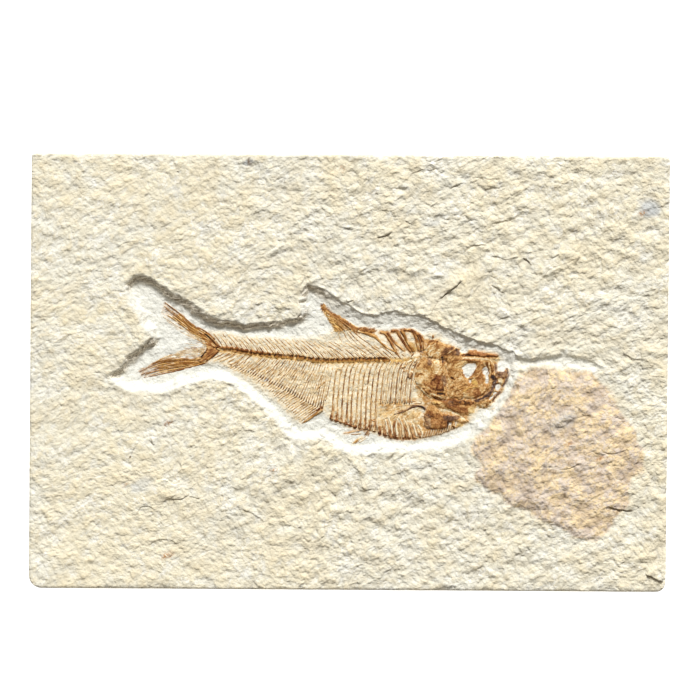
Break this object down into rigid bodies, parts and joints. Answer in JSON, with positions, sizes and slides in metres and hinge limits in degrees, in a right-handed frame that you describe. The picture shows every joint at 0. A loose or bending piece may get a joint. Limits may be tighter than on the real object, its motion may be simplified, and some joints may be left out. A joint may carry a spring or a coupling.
{
  "type": "fossil fish slab",
  "caption": "Prepared fossil fish lying in a shallow recess cut into a sawn rectangular limestone slab; a display specimen that rests on its flat underside.",
  "frame": {"origin": "middle of the slab's outline at the height of its flat sawn underside", "axes": "+Z out of the fossil face, +X along the slab's length from the fish's tail to its snout, +Y across the slab from the fish's belly to its back"},
  "size_m": [0.154, 0.1054, 0.0107],
  "materials": {
    "limestone": "split limestone, dry and matte, cream with greyer patches and a brown-violet stain",
    "dark_bone": "mineralised bone, dark brown to orange-brown, low sheen",
    "light_bone": "thin mineralised bone, yellow-brown, matte"
  },
  "bodies": {
    "root": {"slab": "limestone", "backbone": "dark_bone", "rib_cage": "light_bone", "anal_fin": "light_bone", "dorsal_fin": "dark_bone", "predorsal_bone_1": "dark_bone", "predorsal_bone_2": "dark_bone", "predorsal_bone_3": "dark_bone", "predorsal_bone_4": "dark_bone", "predorsal_bone_5": "dark_bone", "predorsal_bone_6": "dark_bone", "predorsal_bone_7": "dark_bone", "tail_fin_upper": "dark_bone", "tail_fin_lower": "dark_bone", "skull": "dark_bone", "gill_cover": "dark_bone", "gill_rays": "dark_bone", "lower_jaw": "dark_bone", "shoulder_girdle": "dark_bone", "pectoral_fin": "light_bone", "pelvic_fin": "light_bone"}
  },
  "joints": []
}
